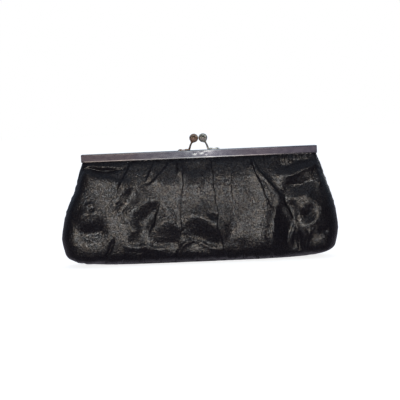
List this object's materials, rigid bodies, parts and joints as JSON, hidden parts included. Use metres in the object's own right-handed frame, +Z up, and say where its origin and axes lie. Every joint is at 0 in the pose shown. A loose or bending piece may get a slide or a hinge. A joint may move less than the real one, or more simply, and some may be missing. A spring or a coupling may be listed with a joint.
{
  "type": "clutch purse",
  "caption": "Pleated satin evening clutch on a straight two-part metal frame with a ball kiss-lock clasp, opening on hidden side hinges.",
  "frame": {"origin": "middle of the base, on the surface that the purse stands on", "axes": "+Z up, the front of the purse faces -Y, the frame bars run along X"},
  "size_m": [0.2778, 0.0452, 0.128],
  "materials": {
    "frame_metal": "polished nickel plate, lightly scratched",
    "inner_metal": "plain steel strip, as stamped",
    "clasp_metal": "polished plate, warm with wear",
    "black_satin": "black satin with a soft sheen",
    "padding": "soft polyester wadding",
    "lining": "black polyester lining",
    "base_board": "grey-brown fibreboard",
    "paper_cord": "twisted paper"
  },
  "bodies": {
    "bag": {"front_padding_lower": "padding", "rear_padding_lower": "padding", "satin_base": "black_satin", "base_board": "base_board", "lining_base": "lining", "front_satin_panel": "black_satin", "rear_satin_panel": "black_satin", "front_lining": "lining", "rear_lining": "lining", "slip_pocket": "lining", "hinge_rivet_left": "inner_metal", "hinge_rivet_right": "inner_metal", "hinge_washer_left": "inner_metal", "hinge_washer_right": "inner_metal"},
    "front_frame": {"front_frame_bar": "frame_metal", "front_arm_left": "inner_metal", "front_arm_right": "inner_metal", "front_clasp_stem": "clasp_metal", "front_clasp_ball": "clasp_metal", "front_clasp_rivet_a": "clasp_metal", "front_clasp_rivet_b": "clasp_metal", "front_channel_cord": "paper_cord", "front_padding_upper": "padding"},
    "rear_frame": {"rear_frame_bar": "frame_metal", "rear_arm_left": "inner_metal", "rear_arm_right": "inner_metal", "rear_clasp_stem": "clasp_metal", "rear_clasp_ball": "clasp_metal", "rear_clasp_rivet_a": "clasp_metal", "rear_clasp_rivet_b": "clasp_metal", "rear_channel_cord": "paper_cord", "rear_padding_upper": "padding"}
  },
  "joints": [
    {"name": "front_frame_hinge", "type": "hinge", "parent": "bag", "child": "front_frame", "pos_m": [0, 0, 0.064], "axis": [1, 0, 0], "range_deg": [0, 32], "deforming": ["front_satin_panel", "front_lining"]},
    {"name": "rear_frame_hinge", "type": "hinge", "parent": "bag", "child": "rear_frame", "pos_m": [0, 0, 0.064], "axis": [1, 0, 0], "range_deg": [-32, 0], "deforming": ["rear_satin_panel", "rear_lining"]}
  ],
  "couplings": [
    {"joint": "rear_frame_hinge", "follows": "front_frame_hinge", "ratio": -1}
  ]
}
